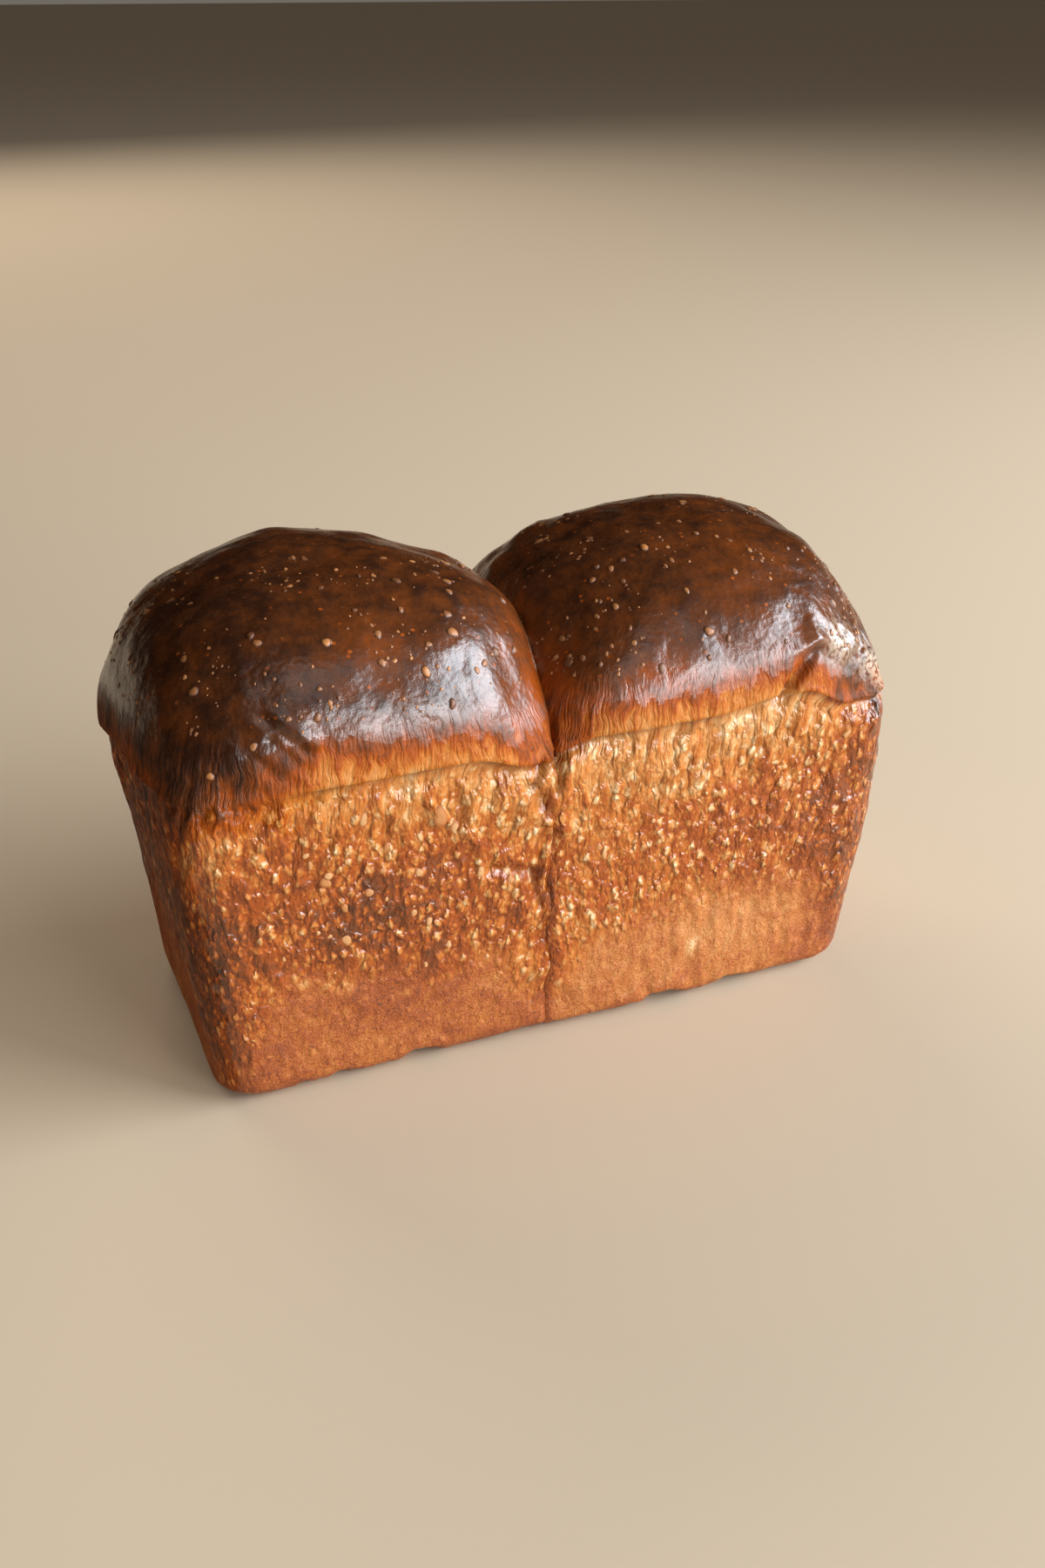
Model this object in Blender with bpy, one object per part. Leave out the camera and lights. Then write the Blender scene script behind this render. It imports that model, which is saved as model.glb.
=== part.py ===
"""A two-domed tin loaf as one closed solid: two fused lobes with a flat base.

Each lobe is a tapered, round-cornered tin block under a risen dome. Lengths in the shape
functions are millimetres with X along the loaf, the shown face at -Y and the base at Z = 0.
"""

import bmesh
import bpy
import numpy as np

MM = 0.001

# The part that the tin shaped, measured at the tin's rim.
LENGTH = 200.0
WIDTH = 98.2
RIM_HEIGHT = 90.0
TAPER_DEG = 4.6
UPRIGHT_HEIGHT = 84.0
UPRIGHT_BLEND = 12.0
CORNER_RADIUS = 11.0
BASE_RADIUS = 5.6
SEAM_RADIUS = 4.0

# The seam between the two lobes, and how far each lobe runs past it into the other.
SEAM_X = -3.6
SEAM_OVERLAP = 1.5

# A tin block's top is a rounded lid that stays inside the dome, except where it rounds the corners.
LID_RISE = 6.0
LID_RADIUS = 13.0
RIM_BLEND = 4.0

# A lobe: outward direction, then its dome's centre, half sizes and squareness. In plan the
# squareness is END_PLAN or SEAM_PLAN at the rim and falls to the lobe's own over PLAN_CLIMB.
LEFT = dict(out=-1.0, centre=(-50.5, 0.0, 92.2), half=(52.2, 50.5, 39.0), tilt=0.03, plan=2.8, rise=2.62)
RIGHT = dict(out=1.0, centre=(47.7, 0.0, 91.6), half=(53.1, 50.5, 38.1), tilt=0.03, plan=2.65, rise=2.28)
DOME_UNDER = 9.0
END_PLAN = 4.0
SEAM_PLAN = 5.0
PLAN_CLIMB = 24.0

# Swells and hollows of each dome: place and height.
SWELL_SPREAD = 16.0
LEFT_SWELLS = [
    ((-50.0, 25.0, 126.0), 3.2),
    ((-80.0, 22.0, 116.0), -2.0),
    ((-22.0, 24.0, 120.0), -4.0),
    ((-98.0, 24.0, 100.0), 2.3),
    ((-4.0, 8.0, 112.0), 1.6),
    ((2.0, -12.0, 110.0), 1.1),
]
RIGHT_SWELLS = [
    ((22.0, 22.0, 122.0), -0.6),
    ((80.0, 24.0, 116.0), 1.5),
    ((94.0, 8.0, 108.0), 0.7),
    ((74.0, 0.0, 126.0), 0.9),
]

# Smaller swells that also shape the walls: place, height and spread.
LEFT_LUMPS = [
    ((-99.0, 42.0, 68.0), 2.2, 10.0),
    ((-10.0, -48.0, 76.0), 0.7, 5.0),
    ((-9.0, -47.0, 62.0), -0.8, 3.5),
    ((-13.0, -46.0, 52.0), 0.6, 5.0),
]
RIGHT_LUMPS = [
    ((96.0, -44.0, 44.0), 1.4, 17.0),
    ((94.0, -46.0, 93.0), 0.3, 6.0),
    ((76.0, -49.0, 103.0), 0.8, 7.0),
    ((36.0, -43.0, 2.0), 1.3, 22.0),
]

# The rim line, where the dome rolls out over the tin: its lip and how it climbs and dips.
LIP_DEPTH = 0.9
LIP_FADE = 9.0
SEAM_DIP = 5.5
FOLD_CLIMB = 2.4
CORNER_DIP = 6.5
FAR_END_DIP = 9.0

# The fold that rises from the rim line near the right front corner.
FOLD_START = np.array([60.0, -50.0, 92.0])
FOLD_END = np.array([69.0, -50.5, 106.0])
FOLD_DEPTH = 1.5
FOLD_SPREAD = 2.4

# Mesh density: cells along each side of a lobe, and rows up the wall.
CELLS = 22
BASE_ROWS = [0.0, 0.5, 1.9, 5.2]
WALL_ROWS = [10.0, 17.0, 25.0, 33.0, 41.0, 49.0, 57.0, 64.0, 71.0, 77.0, 82.0, 85.5]
RIM_ROWS = [88.0, 89.4, 90.6, 92.2, 95.0, 99.0]
TIP_ROWS = 3
TIP_ANGLE = 34.0
SEARCH_STEPS = 26


def blend(first, second, reach):
    """Smooth union of two distance fields."""
    share = np.clip(0.5 + 0.5 * (second - first) / reach, 0.0, 1.0)
    return second * (1 - share) + first * share - reach * share * (1 - share)


def ease(start, end, value):
    """0 before start, 1 past end, smooth between; start may be the larger."""
    share = np.clip((value - start) / (end - start), 0.0, 1.0)
    return share * share * (3 - 2 * share)


def bump(points, centre, spread):
    """A round Gaussian bump of height 1."""
    offset = points - np.array(centre)
    return np.exp(-(offset ** 2).sum(axis=1) / (2 * spread * spread))


def rim_rise(x, y):
    """How far the rim line lies above RIM_HEIGHT at a place round the loaf."""
    front = ease(-25.0, -44.0, y)
    left_end = ease(-80.0, -99.0, x)
    rise = -SEAM_DIP * np.exp(-((x + 9.0) / 11.0) ** 2)
    rise = rise + front * FOLD_CLIMB * ease(38.0, 60.0, x)
    rise = rise - front * CORNER_DIP * ease(66.0, 82.0, x)
    rise = rise - (1 - front) * 2.0 * ease(60.0, 95.0, x)
    return rise - left_end * FAR_END_DIP * ease(-20.0, 40.0, y)


def segment_distance(points, start, end):
    """Distance from each point to a straight segment."""
    along = end - start
    share = np.clip(((points - start) @ along) / (along @ along), 0.0, 1.0)
    return np.linalg.norm(points - start - share[:, None] * along, axis=1)


def lobe_field(points, lobe, swells, lumps):
    """Negative inside the lobe, positive outside, about a distance near the surface."""
    x, y, z = points[:, 0], points[:, 1], points[:, 2]
    near_rim = ease(40.0, 84.0, z) * ease(122.0, 98.0, z)
    z_rim = z - rim_rise(x, y) * near_rim

    below = UPRIGHT_HEIGHT - z
    taper = np.tan(np.radians(TAPER_DEG)) * (below + np.hypot(below, UPRIGHT_BLEND)) / 2
    low = np.clip(z, 0.0, BASE_RADIUS)
    inset = BASE_RADIUS - np.sqrt(np.maximum(BASE_RADIUS ** 2 - (BASE_RADIUS - low) ** 2, 0.0))
    outward = x * lobe["out"]
    outer = LENGTH / 2 - taper - inset
    seam = SEAM_X * lobe["out"] - SEAM_OVERLAP
    half_width = WIDTH / 2 - taper - inset
    middle, half_run = (outer + seam) / 2, (outer - seam) / 2
    corner = np.where(outward > middle, CORNER_RADIUS, SEAM_RADIUS)
    past_x = np.abs(outward - middle) - (half_run - corner)
    past_y = np.abs(y) - (half_width - corner)
    wall = np.hypot(np.maximum(past_x, 0), np.maximum(past_y, 0))
    wall = wall + np.minimum(np.maximum(past_x, past_y), 0) - corner
    in_wall = wall + LID_RADIUS
    in_lid = z_rim - RIM_HEIGHT - LID_RISE + LID_RADIUS
    block = np.hypot(np.maximum(in_wall, 0), np.maximum(in_lid, 0))
    block = block + np.minimum(np.maximum(in_wall, in_lid), 0) - LID_RADIUS

    centre, half = lobe["centre"], lobe["half"]
    across = np.abs((x - centre[0]) / half[0])
    deep = np.abs((y - centre[1]) / half[1])
    tall = half[2] * (1 + lobe["tilt"] * np.clip((x - centre[0]) / half[0], -1.2, 1.2))
    up = np.abs((z_rim - centre[2]) / np.where(z_rim > centre[2], tall, DOME_UNDER))
    rim_plan = np.where((x - centre[0]) * lobe["out"] > 0, END_PLAN, SEAM_PLAN)
    square = lobe["plan"] + (rim_plan - lobe["plan"]) * ease(PLAN_CLIMB, 0.0, z_rim - centre[2])
    plan = (across ** square + deep ** square) ** (1 / square)
    dome = ((plan ** lobe["rise"] + up ** lobe["rise"]) ** (1 / lobe["rise"]) - 1) * 50.0
    for place, height in swells:
        dome = dome - height * bump(points, place, SWELL_SPREAD)

    field = blend(block, dome, RIM_BLEND)
    over_rim = z_rim - RIM_HEIGHT
    lip = ease(-0.4, 1.5, over_rim) * np.exp(-np.maximum(over_rim, 0) / LIP_FADE)
    worn = 1 - 0.7 * ease(-60.0, -85.0, x) * ease(-20.0, -44.0, y)
    field = field - LIP_DEPTH * worn * lip
    for place, height, spread in lumps:
        field = field - height * bump(points, place, spread)
    if lobe["out"] > 0:
        gap = segment_distance(points, FOLD_START, FOLD_END)
        field = field + FOLD_DEPTH * np.exp(-(gap / FOLD_SPREAD) ** 2)
    return field


def surface(origins, rays, lobe, swells, lumps):
    """Where each ray from inside the lobe leaves it, by halving."""
    near, far = np.zeros(len(rays)), np.full(len(rays), 2.2)
    for _ in range(SEARCH_STEPS):
        middle = (near + far) / 2
        inside = lobe_field(origins + rays * middle[:, None], lobe, swells, lumps) < 0
        near = np.where(inside, middle, near)
        far = np.where(inside, far, middle)
    return origins + rays * near[:, None]


def square_ring(cells):
    """Points round a unit square, one cell apart, starting at its (-1, -1) corner."""
    step = np.linspace(-1.0, 1.0, cells + 1)[:-1]
    one = np.ones(cells)
    sides = [(step, -one), (one, step), (-step, one), (-one, -step)]
    return np.concatenate([np.stack(side, axis=1) for side in sides])


def lobe_mesh(lobe, swells, lumps):
    """Vertices and faces of one closed lobe: wall rows, a square grid over the dome, a flat base."""
    seam = SEAM_X - SEAM_OVERLAP * lobe["out"]
    end = LENGTH / 2 * lobe["out"]
    middle = (seam + end) / 2
    half_run = abs(end - seam) / 2
    half_width = WIDTH / 2
    ring = square_ring(CELLS)
    count = len(ring)
    origins, rays = [], []
    wall_levels = BASE_ROWS + WALL_ROWS + RIM_ROWS
    edge_x = middle + ring[:, 0] * half_run
    edge_y = ring[:, 1] * half_width
    follow = rim_rise(edge_x, edge_y)
    for level in wall_levels:
        share = ease(30.0, 86.0, np.array([level]))[0]
        for (u, v), rise in zip(ring, follow):
            origins.append((middle, 0.0, level + rise * share))
            rays.append((u * half_run, v * half_width, 0.0))
    top_level = wall_levels[-1]
    for row in range(1, TIP_ROWS + 1):
        share = row / TIP_ROWS
        tip = np.radians(TIP_ANGLE * share)
        for (u, v), rise in zip(ring, follow):
            level = (top_level + rise) * (1 - share) + 75.0 * share
            origins.append((middle, 0.0, level))
            rays.append((u * half_run * np.cos(tip), v * half_width * np.cos(tip), 50.0 * np.sin(tip)))
    rows = len(wall_levels) + TIP_ROWS
    inner = np.linspace(-1.0, 1.0, CELLS + 1)[1:-1]
    for v in inner:
        for u in inner:
            reach = max(abs(u), abs(v))
            tip = np.radians(90.0 - (90.0 - TIP_ANGLE) * reach)
            scale = np.cos(tip) / reach if reach > 1e-6 else 0.0
            origins.append((middle, 0.0, 75.0))
            rays.append((u * half_run * scale, v * half_width * scale, 50.0 * np.sin(tip)))
    points = surface(np.array(origins), np.array(rays), lobe, swells, lumps)

    faces = [tuple(reversed(range(count)))]
    for row in range(rows - 1):
        for column in range(count):
            after = (column + 1) % count
            low, high = row * count, (row + 1) * count
            faces.append((low + column, low + after, high + after, high + column))
    border = (rows - 1) * count

    def top_index(i, j):
        """Index of the dome grid's vertex at column i, row j, both 0 to CELLS."""
        if j == 0:
            return border + i
        if i == CELLS:
            return border + (CELLS + j) % count
        if j == CELLS:
            return border + 3 * CELLS - i
        if i == 0:
            return border + 4 * CELLS - j
        return rows * count + (j - 1) * (CELLS - 1) + (i - 1)

    for j in range(CELLS):
        for i in range(CELLS):
            faces.append((top_index(i, j), top_index(i + 1, j), top_index(i + 1, j + 1), top_index(i, j + 1)))
    return points, faces


def crust_material():
    """Glossy golden brown crust."""
    material = bpy.data.materials.new("crust")
    material.use_nodes = True
    shader = material.node_tree.nodes["Principled BSDF"]
    shader.inputs["Base Color"].default_value = (0.36, 0.13, 0.035, 1.0)
    shader.inputs["Roughness"].default_value = 0.42
    shader.inputs["Metallic"].default_value = 0.0
    return material


def lobe_object(name, points, faces, material):
    """One lobe as an object, its quads split and its shading smooth."""
    mesh = bpy.data.meshes.new(name)
    mesh.from_pydata([tuple(point * MM) for point in points], [], faces)
    work = bmesh.new()
    work.from_mesh(mesh)
    bmesh.ops.triangulate(work, faces=work.faces[:])
    bmesh.ops.recalc_face_normals(work, faces=work.faces[:])
    work.to_mesh(mesh)
    work.free()
    mesh.materials.append(material)
    item = bpy.data.objects.new(name, mesh)
    bpy.context.scene.collection.objects.link(item)
    return item


def fuse(item, other):
    """Join other into item by a Boolean union, which is applied, and remove other."""
    group = bpy.data.collections.new("joined")
    bpy.context.scene.collection.children.link(group)
    group.objects.link(other)
    union = item.modifiers.new("union", "BOOLEAN")
    union.operation = "UNION"
    union.operand_type = "COLLECTION"
    union.collection = group
    union.solver = "EXACT"
    graph = bpy.context.evaluated_depsgraph_get()
    mesh = bpy.data.meshes.new_from_object(item.evaluated_get(graph))
    item.modifiers.clear()
    item.data = mesh
    bpy.data.objects.remove(other)
    bpy.data.collections.remove(group)


def centre_on_base(item):
    """Move the mesh so that its box is centred on X and Y and its base is at Z = 0."""
    corners = np.array([vertex.co[:] for vertex in item.data.vertices])
    shift = (corners.min(axis=0) + corners.max(axis=0)) / 2
    shift[2] = corners[:, 2].min()
    for vertex in item.data.vertices:
        vertex.co.x -= shift[0]
        vertex.co.y -= shift[1]
        vertex.co.z -= shift[2]


def build():
    """The whole loaf: one node."""
    for item in list(bpy.data.objects):
        bpy.data.objects.remove(item)
    crust = crust_material()
    left = lobe_object("loaf", *lobe_mesh(LEFT, LEFT_SWELLS, LEFT_LUMPS), crust)
    right = lobe_object("right_lobe", *lobe_mesh(RIGHT, RIGHT_SWELLS, RIGHT_LUMPS), crust)
    fuse(left, right)
    centre_on_base(left)
    left.data.shade_smooth()


build()
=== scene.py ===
"""The dressed two-domed tin loaf: two dense lobes with baked relief and crust, on a pale floor.

Lengths in the shape functions are millimetres with X along the loaf, the shown face at -Y and
the base at Z = 0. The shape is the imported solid's, at a finer grid, with the low relief added.
"""

from types import SimpleNamespace

import bpy
import numpy as np
from mathutils import Matrix, Vector


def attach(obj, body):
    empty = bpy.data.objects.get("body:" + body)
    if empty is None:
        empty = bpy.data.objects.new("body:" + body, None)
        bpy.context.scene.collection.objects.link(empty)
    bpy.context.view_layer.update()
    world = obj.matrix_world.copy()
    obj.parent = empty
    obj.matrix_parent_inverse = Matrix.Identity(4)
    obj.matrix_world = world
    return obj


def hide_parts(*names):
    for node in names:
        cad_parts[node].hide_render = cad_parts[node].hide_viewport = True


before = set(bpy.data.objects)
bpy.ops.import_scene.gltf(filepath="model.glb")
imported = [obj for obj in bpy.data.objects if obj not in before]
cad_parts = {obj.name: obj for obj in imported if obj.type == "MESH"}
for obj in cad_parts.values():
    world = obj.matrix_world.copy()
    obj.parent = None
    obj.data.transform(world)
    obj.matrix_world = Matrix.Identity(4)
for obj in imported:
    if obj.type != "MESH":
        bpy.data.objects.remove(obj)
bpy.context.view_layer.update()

MM = 0.001

# The tin-formed part, measured at the rim.
LENGTH = 200.0
WIDTH = 98.2
RIM_HEIGHT = 90.0
TAPER_DEG = 4.6
UPRIGHT_HEIGHT = 84.0
UPRIGHT_BLEND = 12.0
CORNER_RADIUS = 11.0
BASE_RADIUS = 5.6
SEAM_RADIUS = 4.0
SEAM_X = -3.6
SEAM_OVERLAP = 1.5
LID_RISE = 6.0
LID_RADIUS = 13.0
RIM_BLEND = 4.0

# The domes.
LEFT = dict(out=-1.0, centre=(-50.5, 0.0, 92.2), half=(52.2, 50.5, 39.0), tilt=0.03, plan=2.8, rise=2.62)
RIGHT = dict(out=1.0, centre=(47.7, 0.0, 91.6), half=(53.1, 50.5, 38.1), tilt=0.03, plan=2.65, rise=2.28)
DOME_UNDER = 9.0
END_PLAN = 4.0
SEAM_PLAN = 5.0
PLAN_CLIMB = 24.0
SWELL_SPREAD = 16.0
LEFT_SWELLS = [
    ((-50.0, 25.0, 126.0), 3.2),
    ((-80.0, 22.0, 116.0), -2.0),
    ((-22.0, 24.0, 120.0), -4.0),
    ((-98.0, 24.0, 100.0), 2.3),
    ((-4.0, 8.0, 112.0), 1.6),
    ((2.0, -12.0, 110.0), 1.1),
]
RIGHT_SWELLS = [
    ((22.0, 22.0, 122.0), -0.6),
    ((80.0, 24.0, 116.0), 1.5),
    ((94.0, 8.0, 108.0), 0.7),
    ((74.0, 0.0, 126.0), 0.9),
]
LEFT_LUMPS = [
    ((-99.0, 42.0, 68.0), 2.2, 10.0),
    ((-10.0, -48.0, 76.0), 0.7, 5.0),
    ((-9.0, -47.0, 62.0), -0.8, 3.5),
    ((-13.0, -46.0, 52.0), 0.6, 5.0),
]
RIGHT_LUMPS = [
    ((96.0, -44.0, 44.0), 1.4, 17.0),
    ((94.0, -46.0, 93.0), 0.3, 6.0),
    ((76.0, -49.0, 103.0), 0.8, 7.0),
    ((36.0, -43.0, 2.0), 1.3, 22.0),
]

# The rim line and the fold near the right front corner.
LIP_DEPTH = 0.9
LIP_FADE = 9.0
SEAM_DIP = 5.5
FOLD_CLIMB = 2.4
CORNER_DIP = 6.5
FAR_END_DIP = 9.0
FOLD_START = np.array([60.0, -50.0, 92.0])
FOLD_END = np.array([69.0, -50.5, 106.0])
FOLD_DEPTH = 1.5
FOLD_SPREAD = 2.4

# Mesh density, and the rays from inside a lobe that find its surface.
CELLS = 130
WALL_STEP = 0.95
BASE_ROWS = 9
TOP_LEVEL = 99.0
TIP_ROWS = 22
TIP_ANGLE = 34.0
HUB_LEVEL = 75.0
HUB_REACH = 50.0
SEARCH_REACH = 2.2
SEARCH_STEPS = 20

# Camera, solved from the photograph: millimetres, degrees, and pixels of its 1800 high frame.
CENTRE_SHIFT = 1.28
CAMERA_YAW = -22.659
CAMERA_PITCH = 26.680
CAMERA_ROLL = -0.296
CAMERA_DISTANCE = 444.46
CAMERA_AIM = (6.94, -3.35, 60.0)
FOCAL_PIXELS = 1806.03
FRAME_PIXELS = 1800.0
SENSOR_MM = 36.0


def blend(first, second, reach):
    """Smooth union of two distance fields."""
    share = np.clip(0.5 + 0.5 * (second - first) / reach, 0.0, 1.0)
    return second * (1 - share) + first * share - reach * share * (1 - share)


def ease(start, end, value):
    """0 before start, 1 past end, smooth between; start may be the larger."""
    share = np.clip((value - start) / (end - start), 0.0, 1.0)
    return share * share * (3 - 2 * share)


def bump(points, centre, spread):
    """A round Gaussian bump of height 1."""
    offset = points - np.array(centre)
    return np.exp(-(offset ** 2).sum(axis=1) / (2 * spread * spread))


def rim_rise(x, y):
    """How far the rim line lies above RIM_HEIGHT at a place round the loaf."""
    front = ease(-25.0, -44.0, y)
    left_end = ease(-80.0, -99.0, x)
    rise = -SEAM_DIP * np.exp(-((x + 9.0) / 11.0) ** 2)
    rise = rise + front * FOLD_CLIMB * ease(38.0, 60.0, x)
    rise = rise - front * CORNER_DIP * ease(66.0, 82.0, x)
    rise = rise - (1 - front) * 2.0 * ease(60.0, 95.0, x)
    return rise - left_end * FAR_END_DIP * ease(-20.0, 40.0, y)


def segment_distance(points, start, end):
    """Distance from each point to a straight segment."""
    along = end - start
    share = np.clip(((points - start) @ along) / (along @ along), 0.0, 1.0)
    return np.linalg.norm(points - start - share[:, None] * along, axis=1)


def lobe_field(points, lobe, swells, lumps):
    """Negative inside the lobe, positive outside, about a distance near the surface."""
    x, y, z = points[:, 0], points[:, 1], points[:, 2]
    near_rim = ease(40.0, 84.0, z) * ease(122.0, 98.0, z)
    z_rim = z - rim_rise(x, y) * near_rim

    below = UPRIGHT_HEIGHT - z
    taper = np.tan(np.radians(TAPER_DEG)) * (below + np.hypot(below, UPRIGHT_BLEND)) / 2
    low = np.clip(z, 0.0, BASE_RADIUS)
    inset = BASE_RADIUS - np.sqrt(np.maximum(BASE_RADIUS ** 2 - (BASE_RADIUS - low) ** 2, 0.0))
    outward = x * lobe["out"]
    outer = LENGTH / 2 - taper - inset
    seam = SEAM_X * lobe["out"] - SEAM_OVERLAP
    half_width = WIDTH / 2 - taper - inset
    middle, half_run = (outer + seam) / 2, (outer - seam) / 2
    corner = np.where(outward > middle, CORNER_RADIUS, SEAM_RADIUS)
    past_x = np.abs(outward - middle) - (half_run - corner)
    past_y = np.abs(y) - (half_width - corner)
    wall = np.hypot(np.maximum(past_x, 0), np.maximum(past_y, 0))
    wall = wall + np.minimum(np.maximum(past_x, past_y), 0) - corner
    in_wall = wall + LID_RADIUS
    in_lid = z_rim - RIM_HEIGHT - LID_RISE + LID_RADIUS
    block = np.hypot(np.maximum(in_wall, 0), np.maximum(in_lid, 0))
    block = block + np.minimum(np.maximum(in_wall, in_lid), 0) - LID_RADIUS

    centre, half = lobe["centre"], lobe["half"]
    across = np.abs((x - centre[0]) / half[0])
    deep = np.abs((y - centre[1]) / half[1])
    tall = half[2] * (1 + lobe["tilt"] * np.clip((x - centre[0]) / half[0], -1.2, 1.2))
    up = np.abs((z_rim - centre[2]) / np.where(z_rim > centre[2], tall, DOME_UNDER))
    rim_plan = np.where((x - centre[0]) * lobe["out"] > 0, END_PLAN, SEAM_PLAN)
    square = lobe["plan"] + (rim_plan - lobe["plan"]) * ease(PLAN_CLIMB, 0.0, z_rim - centre[2])
    plan = (across ** square + deep ** square) ** (1 / square)
    dome = ((plan ** lobe["rise"] + up ** lobe["rise"]) ** (1 / lobe["rise"]) - 1) * 50.0
    for place, height in swells:
        dome = dome - height * bump(points, place, SWELL_SPREAD)

    field = blend(block, dome, RIM_BLEND)
    over_rim = z_rim - RIM_HEIGHT
    lip = ease(-0.4, 1.5, over_rim) * np.exp(-np.maximum(over_rim, 0) / LIP_FADE)
    worn = 1 - 0.7 * ease(-60.0, -85.0, x) * ease(-20.0, -44.0, y)
    field = field - LIP_DEPTH * worn * lip
    for place, height, spread in lumps:
        field = field - height * bump(points, place, spread)
    if lobe["out"] > 0:
        gap = segment_distance(points, FOLD_START, FOLD_END)
        field = field + FOLD_DEPTH * np.exp(-(gap / FOLD_SPREAD) ** 2)
    return field


def surface(origins, rays, lobe, swells, lumps):
    """Where each ray from inside the lobe leaves it, by halving."""
    near, far = np.zeros(len(rays)), np.full(len(rays), SEARCH_REACH)
    for _ in range(SEARCH_STEPS):
        middle = (near + far) / 2
        inside = lobe_field(origins + rays * middle[:, None], lobe, swells, lumps) < 0
        near = np.where(inside, middle, near)
        far = np.where(inside, far, middle)
    return origins + rays * near[:, None]


def square_ring(cells):
    """Points round a unit square, one cell apart, starting at its (-1, -1) corner."""
    step = np.linspace(-1.0, 1.0, cells + 1)[:-1]
    one = np.ones(cells)
    sides = [(step, -one), (one, step), (-step, one), (-one, -step)]
    return np.concatenate([np.stack(side, axis=1) for side in sides])


def lobe_mesh(lobe, swells, lumps):
    """Points and quads of one closed lobe: wall rows, a square grid over the dome, one below."""
    seam = SEAM_X - SEAM_OVERLAP * lobe["out"]
    end = LENGTH / 2 * lobe["out"]
    middle = (seam + end) / 2
    half_run = abs(end - seam) / 2
    half_width = WIDTH / 2
    ring = square_ring(CELLS)
    count = len(ring)
    edge_x = middle + ring[:, 0] * half_run
    edge_y = ring[:, 1] * half_width
    follow = rim_rise(edge_x, edge_y)
    base_levels = BASE_RADIUS * (1 - np.cos(np.radians(np.linspace(0.0, 80.0, BASE_ROWS))))
    wall_count = int((TOP_LEVEL - base_levels[-1]) / WALL_STEP)
    levels = np.concatenate([base_levels, np.linspace(base_levels[-1], TOP_LEVEL, wall_count)[1:]])

    flat = np.stack([ring[:, 0] * half_run, ring[:, 1] * half_width, np.zeros(count)], axis=1)
    origins, rays = [], []
    for level in levels:
        share = ease(30.0, 86.0, level)
        height = level + follow * share
        origins.append(np.stack([np.full(count, middle), np.zeros(count), height], axis=1))
        rays.append(flat)
    for row in range(1, TIP_ROWS + 1):
        share = row / TIP_ROWS
        tip = np.radians(TIP_ANGLE * share)
        level = (levels[-1] + follow) * (1 - share) + HUB_LEVEL * share
        origins.append(np.stack([np.full(count, middle), np.zeros(count), level], axis=1))
        rays.append(flat * np.cos(tip) + np.array([0.0, 0.0, HUB_REACH * np.sin(tip)]))
    rows = len(levels) + TIP_ROWS

    inner = np.linspace(-1.0, 1.0, CELLS + 1)[1:-1]
    u, v = [grid.ravel() for grid in np.meshgrid(inner, inner)]
    reach = np.maximum(np.maximum(np.abs(u), np.abs(v)), 1e-6)
    tip = np.radians(90.0 - (90.0 - TIP_ANGLE) * reach)
    scale = np.cos(tip) / reach
    origins.append(np.tile([middle, 0.0, HUB_LEVEL], (len(u), 1)))
    rise = HUB_REACH * np.sin(tip)
    rays.append(np.stack([u * half_run * scale, v * half_width * scale, rise], axis=1))
    origins.append(np.tile([middle, 0.0, 0.0], (len(u), 1)))
    rays.append(np.stack([u * half_run / reach, v * half_width / reach, u * 0], axis=1))
    points = surface(np.concatenate(origins), np.concatenate(rays), lobe, swells, lumps)
    below = slice(len(points) - len(u), len(points))
    centre = np.array([middle, 0.0, 0.0])
    points[below] = centre + (points[below] - centre) * reach[:, None]

    column = np.arange(count)
    after = (column + 1) % count
    strip = np.stack([column, after, count + after, count + column], axis=1)
    faces = [row * count + strip for row in range(rows - 1)]
    last = (rows - 1) * count
    for border, start, turn in ((last, last + count, 1), (0, last + count + len(u), -1)):
        grid = np.zeros((CELLS + 1, CELLS + 1), dtype=int)
        grid[1:-1, 1:-1] = start + np.arange(len(u)).reshape(CELLS - 1, CELLS - 1)
        index = np.arange(CELLS + 1)
        grid[0, :] = border + index
        grid[:, CELLS] = border + (CELLS + index) % count
        grid[CELLS, :] = border + 3 * CELLS - index
        grid[:, 0] = border + (4 * CELLS - index) % count
        quads = np.stack([grid[:-1, :-1], grid[:-1, 1:], grid[1:, 1:], grid[1:, :-1]], axis=-1)
        faces.append(quads.reshape(-1, 4)[:, ::turn])
    return points, np.concatenate(faces), (middle, half_run, half_width)


def vertex_normals(points, faces):
    """Outward unit normals, from the quads' diagonals."""
    one, two, three, four = points[faces].transpose(1, 0, 2)
    cross = np.cross(three - one, four - two)
    total = np.zeros_like(points)
    for corner in range(4):
        np.add.at(total, faces[:, corner], cross)
    return total / np.maximum(np.linalg.norm(total, axis=1, keepdims=True), 1e-12)


# Turns the noise's grid so that none of its planes lies along the loaf's faces.
NOISE_TURN = np.array(
    Matrix.Rotation(0.7, 3, "X") @ Matrix.Rotation(0.6, 3, "Y") @ Matrix.Rotation(0.5, 3, "Z")
)
NOISE_CELLS = 32


def noise(coords, size, seed):
    """Smooth value noise from -1 to 1 with features about size across."""
    table = np.random.default_rng(seed).uniform(-1.0, 1.0, (NOISE_CELLS, NOISE_CELLS, NOISE_CELLS))
    place = coords @ NOISE_TURN / size
    whole = np.floor(place).astype(int)
    part = place - whole
    part = part * part * (3 - 2 * part)
    total = np.zeros(len(coords))
    for corner in np.ndindex(2, 2, 2):
        weight = np.abs(1 - np.array(corner) - part).prod(axis=1)
        i, j, k = ((whole + corner) % NOISE_CELLS).T
        total += weight * table[i, j, k]
    return total


def stripes(across, size, seed, along=None):
    """Noise from two coordinates, or from one alone."""
    along = across * 0 if along is None else along
    return noise(np.stack([across, along, across * 0], axis=1), size, seed)


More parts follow.
